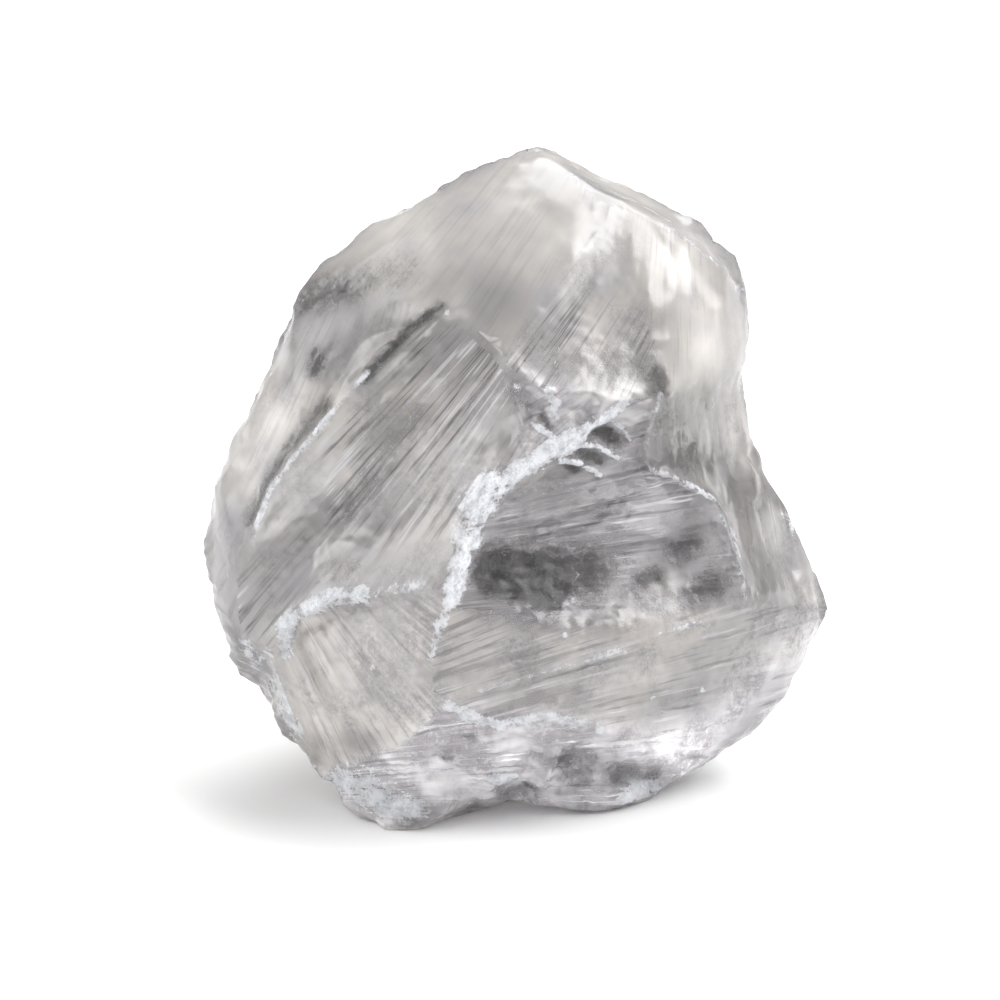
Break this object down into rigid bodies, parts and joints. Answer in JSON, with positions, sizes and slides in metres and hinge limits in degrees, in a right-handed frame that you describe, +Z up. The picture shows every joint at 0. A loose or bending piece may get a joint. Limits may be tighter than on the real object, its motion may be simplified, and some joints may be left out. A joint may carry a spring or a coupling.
{
  "type": "zircon crystal",
  "caption": "Rough, broken piece of see-through pale smoky zircon with shell-like fracture faces, ledges and pits, standing on a flat break.",
  "frame": {"origin": "on the ground, under the middle of the stone's box", "axes": "+Z up from the flat break it stands on; -Y towards the broken front with the long ledge; +X to that front's right"},
  "size_m": [0.0252, 0.0176, 0.0252],
  "materials": {
    "smoky_zircon": "clear pale smoky grey, glassy on fresh breaks, frosted white along ridges and ledges"
  },
  "bodies": {
    "root": {"zircon_crystal": "smoky_zircon"}
  },
  "joints": []
}
